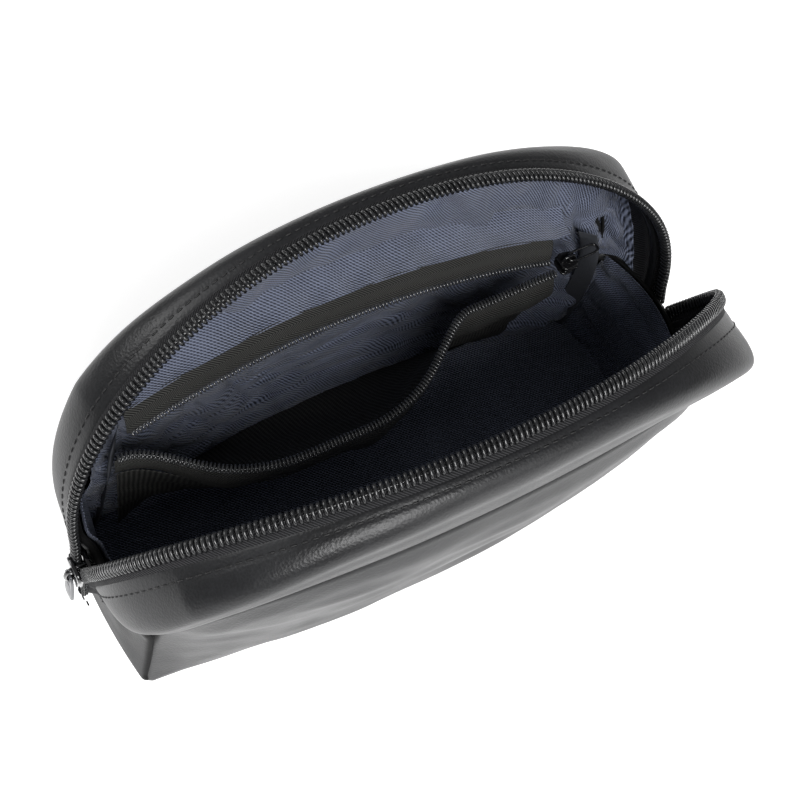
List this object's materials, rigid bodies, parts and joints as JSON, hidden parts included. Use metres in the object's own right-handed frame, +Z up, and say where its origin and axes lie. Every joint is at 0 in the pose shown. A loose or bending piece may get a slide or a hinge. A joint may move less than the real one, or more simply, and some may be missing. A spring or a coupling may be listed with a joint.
{
  "type": "zipped cable organizer pouch",
  "caption": "Boxy soft pouch with a zipped mouth held open by two rolled lips, a padded lined body and an inner zipped pocket.",
  "frame": {"origin": "centre of the base where it rests on the table", "axes": "+X along the pouch's length towards the end away from the main slider, -Y towards the front wall, +Z up out of the base"},
  "size_m": [0.2434, 0.1052, 0.1374],
  "materials": {
    "leather": "fine pebble grain, satin",
    "foam": "soft padding",
    "lining": "twill nylon",
    "zip_tape": "woven herringbone",
    "zip_coil": "moulded nylon coil",
    "black_metal": "gloss black enamel",
    "puller_metal": "satin gunmetal",
    "mesh": "ribbed woven panel",
    "board": "stiffener sheet"
  },
  "bodies": {
    "pouch_body": {"front_panel_lower": "leather", "front_foam_lower": "foam", "front_lining_lower": "lining", "back_panel_lower": "leather", "back_foam_lower": "foam", "back_lining_lower": "lining", "base_gusset": "leather", "left_end_gusset": "leather", "right_end_gusset": "leather", "base_lining": "lining", "left_end_lining": "lining", "right_end_lining": "lining", "base_board": "board", "pocket_chain_back": "zip_coil", "pocket_tape_back": "zip_tape", "pocket_mesh": "mesh", "pocket_slider": "black_metal", "left_tail_chain_front": "zip_coil", "left_tail_tape_front": "zip_tape", "left_tail_chain_back": "zip_coil", "left_tail_tape_back": "zip_tape", "right_tail_chain_front": "zip_coil", "right_tail_tape_front": "zip_tape", "right_tail_chain_back": "zip_coil", "right_tail_tape_back": "zip_tape"},
    "front_lip": {"front_panel_upper": "leather", "front_foam_upper": "foam", "front_lining_upper": "lining", "front_band": "leather", "front_band_lining": "lining", "front_chain": "zip_coil", "front_tape": "zip_tape"},
    "back_lip": {"back_panel_upper": "leather", "back_foam_upper": "foam", "back_lining_upper": "lining", "back_band": "leather", "back_band_lining": "lining", "back_chain": "zip_coil", "back_tape": "zip_tape"},
    "main_slider": {"main_slider": "black_metal"},
    "main_puller": {"main_puller": "puller_metal"},
    "pocket_flap": {"pocket_chain_front": "zip_coil", "pocket_tape_front": "zip_tape"},
    "pocket_puller": {"pocket_puller": "black_metal"}
  },
  "joints": [
    {"name": "front_lip_hinge", "type": "hinge", "parent": "pouch_body", "child": "front_lip", "pos_m": [0, 0, 0.05], "axis": [-1, 0, 0], "range_deg": [0, 16]},
    {"name": "back_lip_hinge", "type": "hinge", "parent": "pouch_body", "child": "back_lip", "pos_m": [0, 0, 0.05], "axis": [1, 0, 0], "range_deg": [0, 16]},
    {"name": "main_slider_run", "type": "slide", "parent": "pouch_body", "child": "main_slider", "axis": [0, 0, -1], "range_m": [0, 0.01]},
    {"name": "main_puller_hinge", "type": "hinge", "parent": "main_slider", "child": "main_puller", "pos_m": [-0.1206, 0, 0.05], "axis": [0, 1, 0], "range_deg": [0, 150]},
    {"name": "pocket_flap_hinge", "type": "hinge", "parent": "pouch_body", "child": "pocket_flap", "pos_m": [-0.009, 0.024, 0.075], "axis": [-1, 0, 0], "range_deg": [0, 40]},
    {"name": "pocket_puller_hinge", "type": "hinge", "parent": "pouch_body", "child": "pocket_puller", "pos_m": [0.0785, 0.023, 0.0782], "axis": [0, -1, 0], "range_deg": [0, 150]}
  ]
}
